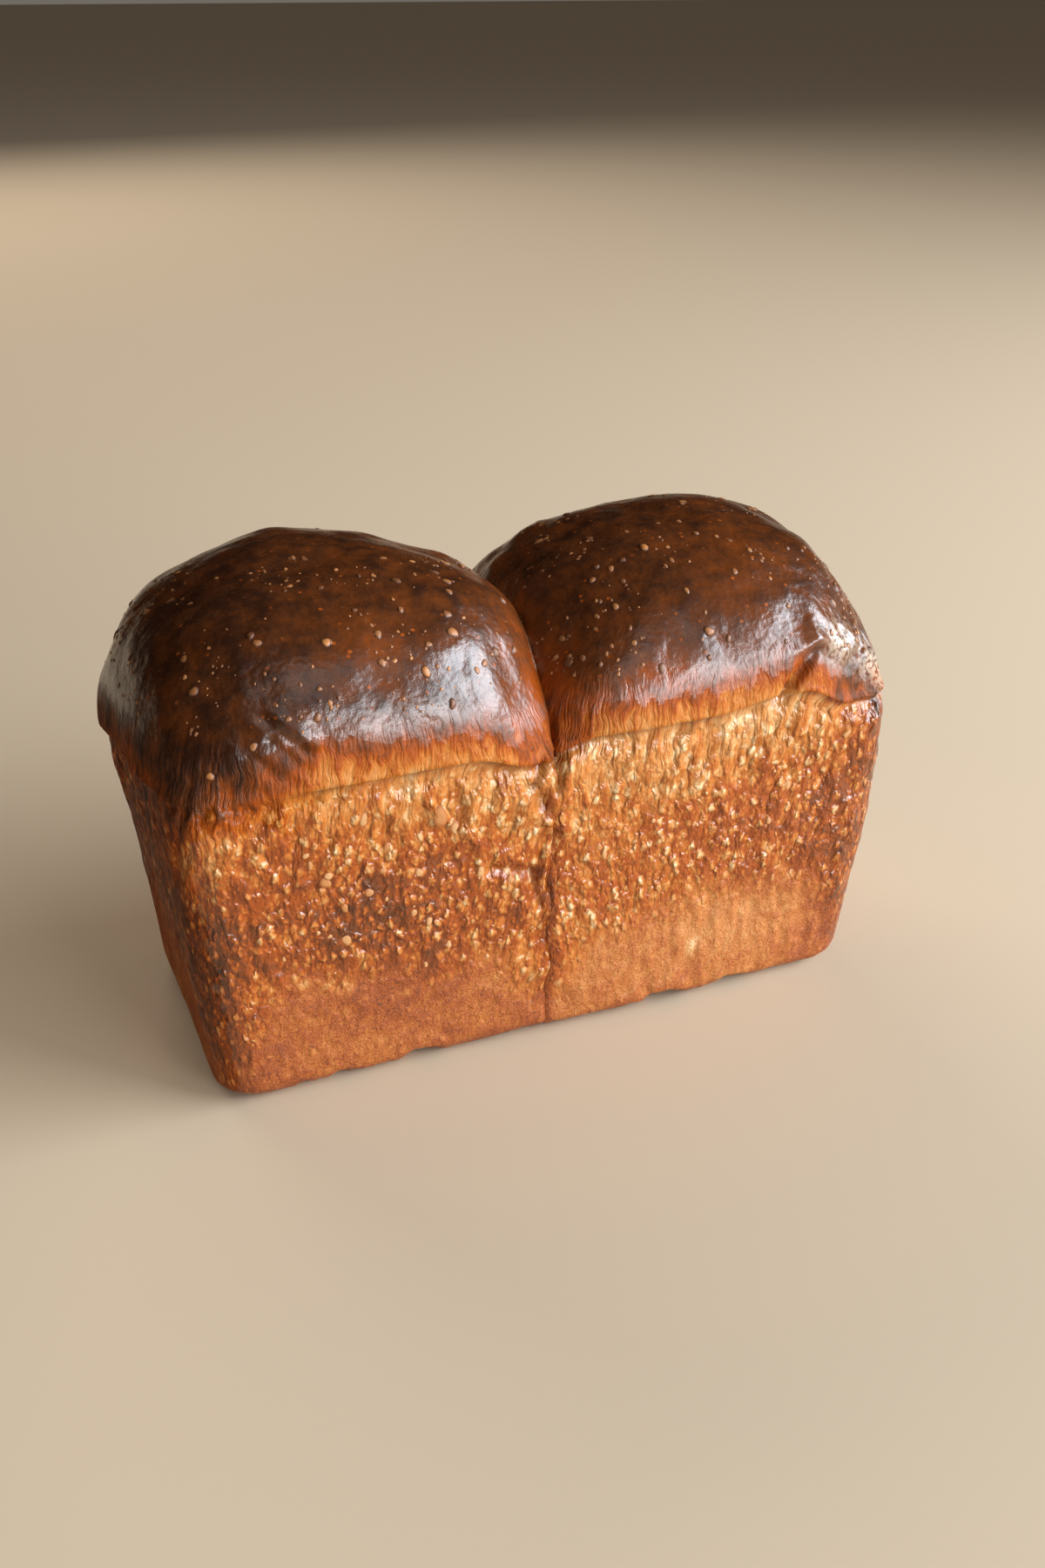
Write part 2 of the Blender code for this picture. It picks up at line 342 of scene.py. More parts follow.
def flow_of(points, lobe, box):
    """Run round the lobe from the middle of its outer end, and climb up its wall and dome."""
    middle, half_run, half_width = box
    u = (points[:, 0] - middle) / half_run * lobe["out"]
    v = points[:, 1] / half_width
    reach = np.maximum(np.maximum(np.abs(u), np.abs(v)), 1e-6)
    u_edge, v_edge = u / reach, v / reach
    side = np.sign(v_edge + 1e-9)
    on_end = u_edge > 0.99999
    on_seam = u_edge < -0.99999
    run = side * (half_width + (1 - u_edge) * half_run)
    run = np.where(on_end, v_edge * half_width, run)
    run = np.where(on_seam, side * (half_width + 2 * half_run + (1 - np.abs(v_edge)) * half_width), run)
    inset = np.clip(1 - reach, 0.0, 1.0) * HUB_REACH
    z = points[:, 2]
    climb = np.where(z > RIM_HEIGHT, RIM_HEIGHT + np.hypot(z - RIM_HEIGHT, inset), z)
    return run * -lobe["out"], climb


# Creases pressed into the crust: start, end, depth and spread. A negative depth is a ridge, and a positive
# depth also lays painted shade along the crease.
CREASES = [
    ((-7.5, -48.0, 85.0), (-9.6, -48.6, 80.0), 1.2, 1.0),
    ((-9.6, -48.6, 80.0), (-5.0, -48.0, 71.5), 1.2, 1.0),
    ((-11.8, -48.6, 80.0), (-6.0, -48.0, 70.5), 0.9, 0.9),
    ((-5.4, -47.0, 86.5), (-6.6, -48.0, 79.0), -0.9, 1.0),
    ((-5.4, -47.6, 78.0), (-3.8, -47.4, 72.0), -0.9, 1.0),
    ((-26.0, -49.0, 87.6), (-15.5, -48.5, 84.6), 0.6, 0.8),
    ((-20.5, -47.2, 57.8), (-8.5, -46.8, 54.6), 1.0, 1.3),
    ((-18.0, -48.2, 62.0), (-9.0, -47.8, 60.5), -0.5, 2.0),
    ((-8.9, -46.8, 54.4), (-6.3, -45.8, 43.7), 1.0, 1.0),
    ((-6.3, -45.8, 43.7), (-5.4, -44.6, 31.0), 0.7, 0.9),
    ((-4.6, -47.0, 69.0), (-5.4, -46.6, 59.5), -0.8, 0.9),
    ((-5.4, -46.6, 59.5), (-6.6, -46.4, 50.0), -0.8, 1.0),
    ((-2.5, -47.4, 84.3), (5.5, -48.5, 77.8), -0.4, 0.6),
    ((-27.0, -48.2, 70.0), (-24.0, -47.6, 64.0), -0.6, 1.6),
    ((-41.0, -49.3, 86.0), (-34.0, -48.4, 75.0), -0.8, 1.5),
    ((-52.0, -49.3, 86.0), (-47.0, -48.4, 79.0), -0.6, 1.4),
    ((-31.0, -49.3, 85.0), (-28.5, -48.4, 74.0), 0.5, 1.3),
    ((-76.0, -46.0, 109.5), (-66.5, -50.3, 100.5), 0.5, 1.2),
    ((-75.0, -48.4, 104.6), (-67.6, -50.7, 96.0), 0.55, 1.2),
    ((-79.4, -48.4, 101.0), (-70.3, -50.6, 93.5), 0.4, 1.3),
    ((-72.1, -47.0, 108.0), (-64.5, -50.2, 102.5), -0.5, 1.5),
    ((34.0, -49.5, 89.0), (38.5, -48.4, 72.0), -0.7, 1.6),
    ((43.0, -49.5, 89.0), (46.0, -48.6, 80.0), -0.6, 1.6),
    ((54.0, -49.5, 90.0), (56.5, -48.4, 76.0), 0.5, 1.2),
    ((58.5, -48.8, 90.5), (62.0, -49.8, 95.0), 1.2, 1.1),
    ((62.0, -49.8, 95.0), (70.3, -49.2, 104.0), 1.2, 1.4),
    ((66.0, -50.0, 104.5), (73.0, -48.0, 107.0), -0.9, 1.8),
]

CREASE_DEPTH = 1.25

# Pale scuffs on the shown face: X and Z, half width and half height.
PALE_MARKS = [
    ((-56.9, 40.7), 1.8, 2.4),
    ((-70.7, 34.9), 2.6, 1.3),
    ((-65.0, 33.0), 2.0, 1.0),
    ((-59.4, 31.7), 1.3, 2.6),
    ((-43.6, 25.0), 1.8, 1.2),
    ((8.7, 33.5), 1.1, 4.0),
    ((40.0, 18.4), 1.6, 3.2),
    ((37.0, 71.0), 2.6, 2.2),
    ((45.0, 87.0), 6.0, 2.0),
    ((-34.6, 77.1), 2.6, 3.6),
    ((-24.0, 58.0), 2.4, 5.0),
]

# The torn knob on the right front corner.
KNOB = (90.0, -44.0, 98.0)
KNOB_SPREAD = 7.0

# Bites out of the base's edge: place and size.
NOTCHES = [
    ((-40.5, -41.0, 1.0), 2.6),
    ((-36.6, -41.0, 0.6), 2.0),
    ((-61.5, -41.0, 0.6), 2.2),
    ((-71.7, -41.0, 0.6), 1.4),
    ((29.4, -41.6, 1.0), 2.2),
    ((33.0, -41.6, 1.2), 2.7),
    ((37.0, -41.6, 0.8), 2.0),
    ((52.5, -41.4, 1.0), 2.4),
    ((56.5, -41.2, 0.8), 2.1),
    ((28.0, 41.0, 0.8), 2.3),
    ((-40.0, 41.0, 0.8), 1.9),
    ((91.0, 12.0, 0.8), 2.0),
    ((-91.0, -16.0, 0.8), 1.7),
]
NOTCH_SPREAD = 0.62


def pale_spots(x, z, front):
    """A soft share from 0 to 1 for each pale scuff."""
    for place, half_x, half_z in PALE_MARKS:
        yield np.exp(-((x - place[0]) / half_x) ** 2 - ((z - place[1]) / half_z) ** 2) * front


def relief(points, lobe, run, climb):
    """Height of the low relief along the normal, and the painted shade laid into creases and under the
    tuck's overhang.
    """
    x, y, z = points.T
    rim = RIM_HEIGHT + rim_rise(x, y) * ease(40.0, 84.0, z) * ease(122.0, 98.0, z)
    over = z - rim + 0.5 * stripes(run, 7.0, 11)
    worn = ease(-60.0, -80.0, x) * ease(-20.0, -44.0, y)
    front = ease(-30.0, -46.0, y)

    height = 0.35 * noise(points, 24.0, 1) + 0.22 * noise(points, 9.0, 2)
    lumpy = 0.45 * noise(points, 12.0, 3) + 0.40 * noise(points, 7.5, 20) + 0.13 * noise(points, 4.5, 4)
    height += lumpy * ease(6.0, 20.0, over)

    slant = run + 0.35 * climb + 1.5 * noise(points, 9.0, 14)
    drip = stripes(slant, 3.3, 5, climb / 3.6) + 0.5 * stripes(slant, 2.0, 6, climb / 2.6)
    drips = ease(-38.0, -6.0, over) * ease(0.6, -1.2, over)
    height += 0.95 * drips * (drip - 0.1)
    pleats = ease(0.0, 2.5, over) * ease(16.0, 6.0, over)
    height += 0.24 * pleats * stripes(run, 2.3, 7, climb / 6.0)

    lump = noise(points * [1, 1, 0.72], 3.4, 8) + 0.5 * noise(points, 2.1, 9)
    lumps = ease(14.0, 34.0, z) * ease(-3.0, -20.0, over)
    height += 0.27 * lumps * lump

    crease = np.exp(-(over / 0.75) ** 2) * (1 - 0.9 * worn)
    height -= 0.95 * crease
    # Painted shade: a dark share laid into the rim crease and the pressed creases.
    painted_shade = crease * np.clip(0.55 + 0.4 * noise(points, 5.0, 15), 0, 1)
    for start, end, depth, spread in CREASES:
        gap = segment_distance(points, np.array(start), np.array(end))
        line = np.exp(-(gap / spread) ** 2)
        height -= CREASE_DEPTH * depth * line
        painted_shade += max(depth, 0.0) * 0.28 * line
    wrinkled = bump(points, (-76.0, -49.0, 98.0), 10.0)
    height += 0.3 * wrinkled * stripes(x + 0.8 * z, 3.4, 10, (x - z) / 3.0)
    corner = ease(-70.0, -90.0, x) * ease(-8.0, -36.0, y)
    height += 1.1 * corner * np.where(over < 0, np.exp(over / 7.0), 1.0) * ease(3.0, 0.0, over)
    beside_seam = ease(11.0, 4.0, np.abs(x - SEAM_X)) * ease(3.0, -3.0, over)
    height += 0.8 * beside_seam * noise(points * [0.6, 1, 1], 6.0, 16 + int(lobe["out"]))
    ragged = 0.4 + noise(points, 1.6, 19)
    for spot in pale_spots(x, z, front):
        height += 0.5 * spot * ragged

    if lobe["out"] > 0:
        knob = bump(points, KNOB, KNOB_SPREAD)
        height += knob * (0.4 + 1.4 * noise(points, 3.6, 12) + 0.9 * noise(points, 1.9, 13))
        tucked = ease(62.0, 67.0, x + 0.5 * (100 - z)) * ease(-36.0, -43.0, y) * ease(92.0, 84.0, x)
        edge_of_tuck = 12.5 + 2.0 * noise(points, 8.0, 17)
        height -= 0.9 * tucked * ease(0.2, 4.0, over) * ease(edge_of_tuck + 1.5, edge_of_tuck - 2.0, over)
        height += 0.8 * tucked * ease(edge_of_tuck, edge_of_tuck + 3.0, over) * ease(26.0, 17.0, over)
        height += 0.5 * tucked * stripes(run, 3.0, 18, climb / 2.5)
        # Painted shade under the overhanging dome edge above the tuck.
        painted_shade += 0.4 * tucked * np.exp(-((over - edge_of_tuck) / 1.6) ** 2)
    return height, np.clip(painted_shade, 0.0, 1.0), over


# The bake of each zone, the level of the band's top at the corners, and its rise between them.
WALL_BAKE = 0.56
WALL_DARKEST = 0.77
STRIP_BAKE = 0.45
UNDERSIDE_BAKE = 0.55
BAND_LEVEL = 14.0
BAND_RISE = 22.0

# Torn pale crumb: amounts and places on the knob, and a line in the cleft.
KNOB_TEARS = [
    (0.60, (93.5, -44.0, 96.5)),
    (0.30, (98.0, -44.0, 88.0)),
    (0.50, (80.0, -46.5, 104.5)),
]
CLEFT_TEAR = (np.array([-0.5, -20.0, 107.5]), np.array([-0.5, -29.0, 104.0]))


def paint(points, lobe, over, painted_shade, normals):
    """Named shares, one number a vertex, that steer the crust's colour and finish.

    A higher bake is browner; the left end wall's extra bake is partly painted shade. The band is the
    smooth matte zone near the base.
    """
    x, y, z = points.T
    front = ease(-30.0, -46.0, y)
    left_front = ease(-62.0, -90.0, x) * front
    left_end = ease(-92.0, -99.5, x)
    right_front = ease(62.0, 72.0, x) * ease(-20.0, -44.0, y)
    to_seam = np.abs(x - SEAM_X)

    corner_x = LENGTH / 2 - np.abs(x)
    corner_y = WIDTH / 2 - np.abs(y)
    edge = ease(22.0, 4.0, np.maximum(corner_x, corner_y))
    inside = ease(-6.0, 12.0, np.minimum(corner_x - 14.0, to_seam - 8.0))
    on_end = ease(8.0, 4.0, corner_x) * ease(40.0, 26.0, np.abs(y))
    band_top = BAND_LEVEL + BAND_RISE * np.maximum(inside, on_end)
    band_top = band_top + 6.0 * noise(points, 18.0, 22) + 4.0 * noise(points, 7.0, 24)
    band = ease(band_top + 9.0, band_top - 11.0, z)
    left_corner = ease(-84.0, -96.0, x) * ease(-30.0, -42.0, y)
    band = np.maximum(band, 0.15 * left_corner * ease(0.0, -8.0, over))

    wall = WALL_BAKE + 0.05 * noise(points, 20.0, 23) + 0.04 * noise(points, 8.0, 25)
    wall = wall + 0.05 * ease(-4.0, -16.0, x) * front - 0.05 * ease(20.0, 50.0, x) * front * band
    pale = ease(-34.0, -3.0, over) * (1 - 0.9 * left_front) * (1 - 0.6 * edge)
    wall = wall - 0.21 * pale
    ragged = np.clip(0.8 + noise(points, 2.0, 28), 0, 1)
    for spot in pale_spots(x, z, front):
        wall = wall - 0.30 * spot * ragged
    wall = wall + 0.08 * edge
    wall = wall + 0.07 * ease(40.0, 85.0, x) * front * ease(26.0, 46.0, z) * ease(0.0, -14.0, over)
    wall = wall + 0.10 * ease(-12.0, -40.0, x) * front * np.exp(-((z - 60.0) / 18.0) ** 2 / 2)
    # The left end wall is darker, partly its browner crust and partly painted shade for the end turned
    # away from the light.
    wall = wall + 0.24 * left_end + 0.05 * ease(86.0, 96.0, x) + 0.07 * left_corner * ease(8.0, 26.0, z)
    wall = wall + 0.18 * left_front * ease(-40.0, -2.0, over) + 0.2 * left_end * ease(-34.0, -8.0, over)
    wall = wall + 0.10 * ease(5.0, 0.5, z) + 0.04 * ease(-10.0, -80.0, x) * front * band
    wall = wall - 0.03 * front * np.exp(-((z - 24.0) / 9.0) ** 2 / 2)
    wall = wall + 0.15 * ease(64.0, 90.0, x) * front + 0.10 * ease(5.0, 1.0, to_seam)
    wall = np.minimum(wall, WALL_DARKEST - 0.07 * ease(-70.0, -20.0, x))

    start = 4.0 - 12.0 * left_front - 9.0 * left_end + 5.0 * right_front + 1.5 * noise(points, 12.0, 21)
    dome = STRIP_BAKE + 0.14 * right_front
    dome = dome + 0.28 * ease(start - 4.0, start + 7.0, over)
    dome = dome + (0.23 - 0.12 * right_front) * ease(start + 2.0, start + 19.0, over)
    dome = dome + 0.04 * noise(points, 18.0, 26) + 0.20 * ease(70.0, 86.0, x) * ease(16.0, 8.0, over)
    dome = dome - 0.05 * ease(-75.0, -45.0, x) * ease(10.0, 24.0, over)
    cleft = ease(15.0, 4.0, to_seam) * ease(38.0, 8.0, over)
    dome = dome - cleft * 0.16 * ease(6.0, 16.0, over)
    dome = dome + cleft * 0.24 * ease(10.0, 0.0, over)
    above = ease(-0.6, 0.9, over)
    above = np.maximum(above, left_front * ease(-44.0, 0.0, over))
    bake = wall + (dome - wall) * above

    torn = np.zeros(len(points))
    if lobe["out"] > 0:
        for amount, place in KNOB_TEARS:
            torn = torn + amount * bump(points, place, 4.0)
    if lobe["out"] < 0:
        torn = 0.8 * np.exp(-(segment_distance(points, *CLEFT_TEAR) / 1.2) ** 2)
    under = ease(-0.55, -0.9, normals[:, 2])
    bake = bake + (UNDERSIDE_BAKE + 0.10 * noise(points, 14.0, 27) - bake) * under
    return dict(
        bake=bake,
        over=over,
        band=np.maximum(band, under),
        painted_shade=painted_shade,
        torn=np.clip(torn, 0, 1),
        matte=np.maximum(under, left_end * ease(12.0, 0.0, over)),
    )


def notch(points):
    """How far each place by the base's edge is bitten in."""
    depth = np.zeros(len(points))
    for place, size in NOTCHES:
        depth += size * bump(points, place, size * NOTCH_SPREAD)
    depth *= 1.9 + 0.9 * noise(points, 1.5, 30)
    ragged = noise(points, 2.6, 31) * 0.4 + noise(points, 6.0, 32) * 0.4
    return depth + np.clip(ragged, 0, 1) * ease(4.0, 1.0, points[:, 2])


class Graph:
    """Short calls that add nodes to a material and return their sockets."""

    def __init__(self, material):
        material.use_nodes = True
        self.tree = material.node_tree
        self.tree.nodes.clear()

    def node(self, kind, inputs=(), **settings):
        item = self.tree.nodes.new(kind)
        for name, value in settings.items():
            setattr(item, name, value)
        for key, value in dict(inputs).items():
            self.put(item.inputs[key], value)
        return item

    def put(self, socket, value):
        if isinstance(value, bpy.types.NodeSocket):
            self.tree.links.new(value, socket)
        else:
            socket.default_value = value

    def share(self, name):
        return self.node("ShaderNodeAttribute", attribute_name=name).outputs["Fac"]

    def vector(self, name):
        return self.node("ShaderNodeAttribute", attribute_name=name).outputs["Vector"]

    def math(self, operation, first, second=0.0, third=0.0, clamp=False):
        return self.node(
            "ShaderNodeMath", {0: first, 1: second, 2: third}, operation=operation, use_clamp=clamp
        ).outputs[0]

    def times(self, first, second):
        return self.math("MULTIPLY", first, second)

    def plus(self, base, value, weight, clamp=False):
        """The base, and the value times its weight."""
        return self.math("MULTIPLY_ADD", value, weight, base, clamp)

    def centred(self, value):
        """A value from 0 to 1 moved to lie round 0."""
        return self.math("SUBTRACT", value, 0.5)

    def scaled(self, vector, scale):
        item = self.node("ShaderNodeVectorMath", {0: vector, 1: scale}, operation="MULTIPLY")
        return item.outputs[0]

    def moved(self, vector, offset):
        item = self.node("ShaderNodeVectorMath", {0: vector, 1: offset}, operation="ADD")
        return item.outputs[0]

    def noise(self, vector, scale, detail=2.0, rough=0.5):
        return self.node(
            "ShaderNodeTexNoise", {"Vector": vector, "Scale": scale, "Detail": detail, "Roughness": rough}
        )

    def cells(self, vector, scale):
        """Distance from the nearest of scattered points, and a random share of that point's own."""
        item = self.node("ShaderNodeTexVoronoi", {"Vector": vector, "Scale": scale})
        split = self.node("ShaderNodeSeparateColor", {"Color": item.outputs["Color"]})
        return item.outputs["Distance"], split.outputs["Red"]

    def step(self, value, low, high):
        """0 below low and 1 above high, smooth between; low may be the larger."""
        item = self.node("ShaderNodeMapRange", {"Value": value}, interpolation_type="SMOOTHSTEP")
        if low > high:
            low, high = high, low
            item.inputs["To Min"].default_value = 1.0
            item.inputs["To Max"].default_value = 0.0
        item.inputs["From Min"].default_value = low
        item.inputs["From Max"].default_value = high
        return item.outputs["Result"]

    def mix(self, share, first, second):
        item = self.node("ShaderNodeMix", data_type="RGBA")
        self.put(item.inputs[0], share)
        self.put(item.inputs[6], first)
        self.put(item.inputs[7], second)
        return item.outputs[2]

    def bumped(self, height, distance):
        item = self.node("ShaderNodeBump", {"Height": height, "Strength": 1.0, "Distance": distance})
        return item.outputs["Normal"]

    def surface(self, colour, rough, normal=None):
        """A shader wired to the material's output."""
        shader = self.node("ShaderNodeBsdfPrincipled", {"Base Color": colour, "Roughness": rough})
        if normal is not None:
            self.put(shader.inputs["Normal"], normal)
        self.node("ShaderNodeOutputMaterial", {"Surface": shader.outputs["BSDF"]})
        return shader


def rgb(red, green, blue):
    """A colour with full cover."""
    return (red, green, blue, 1.0)


# The bake: from pale gold at 0 to chocolate at 1.
BAKE_RAMP = [
    (0.00, rgb(0.700, 0.500, 0.270)),
    (0.16, rgb(0.560, 0.335, 0.155)),
    (0.33, rgb(0.470, 0.205, 0.060)),
    (0.50, rgb(0.385, 0.118, 0.018)),
    (0.66, rgb(0.265, 0.050, 0.004)),
    (0.82, rgb(0.122, 0.030, 0.006)),
    (0.93, rgb(0.064, 0.018, 0.005)),
    (1.00, rgb(0.032, 0.010, 0.004)),
]
TORN_CREAM = rgb(0.780, 0.600, 0.430)
# The colour of painted shade in creases, bites and pores.
PAINTED_SHADE_COLOUR = rgb(0.050, 0.012, 0.004)
FLOOR_COLOUR = rgb(0.52, 0.41, 0.29)


def crust_patterns(g):
    """The patterns that the crust's colour, relief and gloss share."""
    flow, place = g.vector("flow"), g.vector("place")
    p = SimpleNamespace(place=place, over=g.share("over"), band=g.share("band"))
    wander = g.noise(place, 0.16, 1.0).outputs["Color"]
    wavy = g.moved(flow, g.scaled(wander, (4.0, 4.0, 4.0)))
    p.broad_streak = g.noise(g.scaled(wavy, (1.0, 0.16, 1.0)), 0.30).outputs["Fac"]
    p.streak = g.noise(g.scaled(wavy, (1.0, 0.13, 1.0)), 1.05, 2.0, 0.55).outputs["Fac"]
    p.mottle = g.noise(g.scaled(wavy, (1.0, 0.50, 1.0)), 0.36).outputs["Fac"]
    p.patch = g.noise(place, 0.20, 2.0, 0.6).outputs["Fac"]
    p.grain = g.noise(place, 2.2, 2.0, 0.6).outputs["Fac"]

    warp = g.noise(place, 0.42, 1.0, 0.55).outputs["Color"]
    warped = g.moved(g.scaled(flow, (1.0, 0.76, 1.0)), g.scaled(warp, (2.0, 2.0, 2.0)))
    distance, p.pebble_size = g.cells(warped, 0.37)
    p.pebble_top = g.step(distance, 0.62, 0.08)
    distance, p.small_size = g.cells(warped, 0.72)
    p.small_top = g.step(distance, 0.56, 0.06)

    p.sides = g.step(p.over, 1.0, -3.0)
    p.lumpy = g.times(p.sides, g.plus(1.0, p.band, -0.85))
    p.lumpy = g.times(p.lumpy, g.plus(1.0, g.step(p.over, -20.0, -4.0), -0.45))
    p.near_rim = g.times(g.step(p.over, -30.0, -5.0), g.step(p.over, 18.0, 6.0))
    p.below_rim = g.times(p.near_rim, g.step(p.over, 3.0, -4.0))
    return p


def crust_colour(g, p):
    """Bake to brown, darker in the gaps between pebbles, with painted shade in creases, bites and pores,
    pale where the crust is torn.
    """
    cloud = g.noise(p.place, 0.07, 2.0, 0.55).outputs["Fac"]
    bake = g.plus(g.share("bake"), g.centred(cloud), 0.16)
    bake = g.plus(bake, g.centred(p.patch), 0.32)
    streaks = g.math("ADD", g.centred(p.broad_streak), g.centred(p.streak))
    bake = g.plus(bake, g.times(streaks, p.near_rim), 0.50)

    gaps = g.times(g.math("SUBTRACT", 0.20, p.pebble_top), g.plus(0.04, p.pebble_size, 0.60))
    gaps = g.plus(gaps, g.math("SUBTRACT", 0.30, p.small_top), 0.20)
    gaps = g.plus(gaps, g.centred(p.mottle), 0.60)
    bake = g.plus(bake, g.math("MINIMUM", gaps, 0.10), p.lumpy)

    distance, size = g.cells(p.place, 0.55)
    pit = g.times(g.times(g.step(distance, 0.26, 0.10), g.step(size, 0.35, 0.65)), p.band)
    bake = g.plus(bake, pit, 0.14)
    bake = g.plus(bake, g.centred(p.grain), g.plus(0.16, p.band, 0.55))

    distance, size = g.cells(p.place, 0.36)
    speck = g.times(g.step(distance, 0.24, 0.12), g.step(size, 0.55, 0.75))
    speck = g.times(g.times(speck, g.step(p.over, 10.0, 22.0)), g.step(p.patch, 0.40, 0.54))
    bake = g.plus(bake, speck, -0.28, clamp=True)

    ramp = g.node("ShaderNodeValToRGB", {"Fac": bake})
    while len(ramp.color_ramp.elements) < len(BAKE_RAMP):
        ramp.color_ramp.elements.new(0.5)
    for element, (position, colour) in zip(ramp.color_ramp.elements, BAKE_RAMP):
        element.position = position
        element.color = colour
    # Painted shade: creases, bites and the tuck's overhang are pulled toward the shade colour.
    colour = g.mix(g.times(g.share("painted_shade"), 0.8), ramp.outputs["Color"], PAINTED_SHADE_COLOUR)
    flecks = g.step(g.noise(p.place, 0.8, 3.0).outputs["Fac"], 0.38, 0.56)
    torn = g.math("MULTIPLY", g.share("torn"), flecks, clamp=True)
    colour = g.mix(torn, colour, TORN_CREAM)
    # Pores are painted shade: dark dots with no pit in the relief.
    pore = g.times(g.step(distance, 0.10, 0.05), g.step(size, 0.50, 0.40))
    return g.mix(g.times(pore, 0.7), colour, PAINTED_SHADE_COLOUR)


def crust_relief(g, p):
    """The finest relief, in millimetres: pebbles on the sides, streaks by the rim, grain below."""
    pebbles = g.times(p.pebble_top, g.plus(0.12, p.pebble_size, 0.66))
    pebbles = g.plus(pebbles, p.small_top, g.plus(0.03, p.small_size, 0.20))
    pebbles = g.plus(pebbles, p.mottle, 1.9)
    height = g.times(g.times(pebbles, g.plus(0.15, p.lumpy, 0.85)), p.sides)
    height = g.plus(height, g.times(p.streak, p.near_rim), 0.60)
    height = g.plus(height, g.times(p.broad_streak, p.near_rim), 0.7)
    height = g.plus(height, g.times(p.broad_streak, p.below_rim), 1.3)
    height = g.plus(height, p.grain, g.plus(0.06, p.band, 0.16))
    height = g.plus(height, p.patch, 0.55)
    return g.bumped(height, MM)


def crust_roughness(g, p):
    """Glossy where egg wash or tin made it smooth, rougher in the band and the golden strip."""
    rough = g.plus(g.plus(0.19, p.below_rim, -0.03), p.band, 0.36)
    rough = g.plus(rough, g.step(p.over, 4.0, 14.0), 0.08)
    strip = g.times(g.step(p.over, -0.5, 1.0), g.step(p.over, 15.0, 7.0))
    rough = g.plus(rough, strip, 0.34)
    rough = g.plus(rough, g.centred(p.grain), 0.16)
    rough = g.plus(rough, g.centred(p.patch), 0.24)
    return g.plus(rough, g.share("matte"), 0.45, clamp=True)


def crust_material(name, specular, coat):
    """Baked, egg-washed crust: dark glossy domes, streaked rim, pebbled sides, matte band below."""
    material = bpy.data.materials.new(name)
    g = Graph(material)
    p = crust_patterns(g)
    shader = g.surface(crust_colour(g, p), crust_roughness(g, p), crust_relief(g, p))
    shader.inputs["Specular IOR Level"].default_value = specular
    shader.inputs["Coat Weight"].default_value = coat
    shader.inputs["Coat Roughness"].default_value = 0.15
    return material


def blister_material():
    """Small blisters: crust brown at the foot, tan or golden on top."""
    material = bpy.data.materials.new("loaf_blister")
    g = Graph(material)
    cap, tone, light = g.share("cap"), g.share("tone"), g.share("light")
    grain = g.noise(g.vector("place"), 1.6).outputs["Fac"]
    top = g.mix(tone, rgb(0.09, 0.028, 0.009), rgb(0.46, 0.18, 0.050))
    top = g.mix(g.times(g.step(grain, 0.35, 0.7), 0.5), top, rgb(0.22, 0.075, 0.022))
    top = g.mix(light, top, g.mix(tone, rgb(0.38, 0.14, 0.035), rgb(0.54, 0.30, 0.13)))
    foot = g.mix(light, rgb(0.045, 0.013, 0.005), rgb(0.32, 0.09, 0.013))
    colour = g.mix(g.step(cap, 0.05, 0.45), foot, top)
    g.surface(colour, g.plus(0.36, grain, 0.2), g.bumped(grain, 0.1 * MM))
    return material


def floor_material():
    """Plain pale paper."""
    material = bpy.data.materials.new("floor")
    Graph(material).surface(FLOOR_COLOUR, 0.9)
    return material


def make_piece(name, points, faces, materials, shares, vectors, choice=None):
    """A smooth-shaded object with its shares stored on the vertices and a material for each face."""
    mesh = bpy.data.meshes.new(name)
    mesh.vertices.add(len(points))
    mesh.vertices.foreach_set("co", (points * MM).astype(np.float32).ravel())
    width = faces.shape[1]
    mesh.loops.add(faces.size)
    mesh.loops.foreach_set("vertex_index", faces.astype(np.int32).ravel())
    mesh.polygons.add(len(faces))
    mesh.polygons.foreach_set("loop_start", np.arange(0, faces.size, width, dtype=np.int32))
    mesh.update(calc_edges=True)
    mesh.validate()
    for key, values in shares.items():
        layer = mesh.attributes.new(key, "FLOAT", "POINT")
        layer.data.foreach_set("value", values.astype(np.float32))
    for key, values in vectors.items():
        layer = mesh.attributes.new(key, "FLOAT_VECTOR", "POINT")
        layer.data.foreach_set("vector", values.astype(np.float32).ravel())
    mesh.shade_smooth()
    for material in materials:
        mesh.materials.append(material)
    if choice is not None:
        mesh.polygons.foreach_set("material_index", choice.astype(np.int32))
    item = bpy.data.objects.new(name, mesh)
    bpy.context.scene.collection.objects.link(item)
    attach(item, "root")
    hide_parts("loaf")


# The seam's sideways waver, the arch of the underside, and the gap between the lobes' patterns.
SEAM_WAVE = 0.9
BASE_ARCH = 0.5
LOBE_APART = 50.0


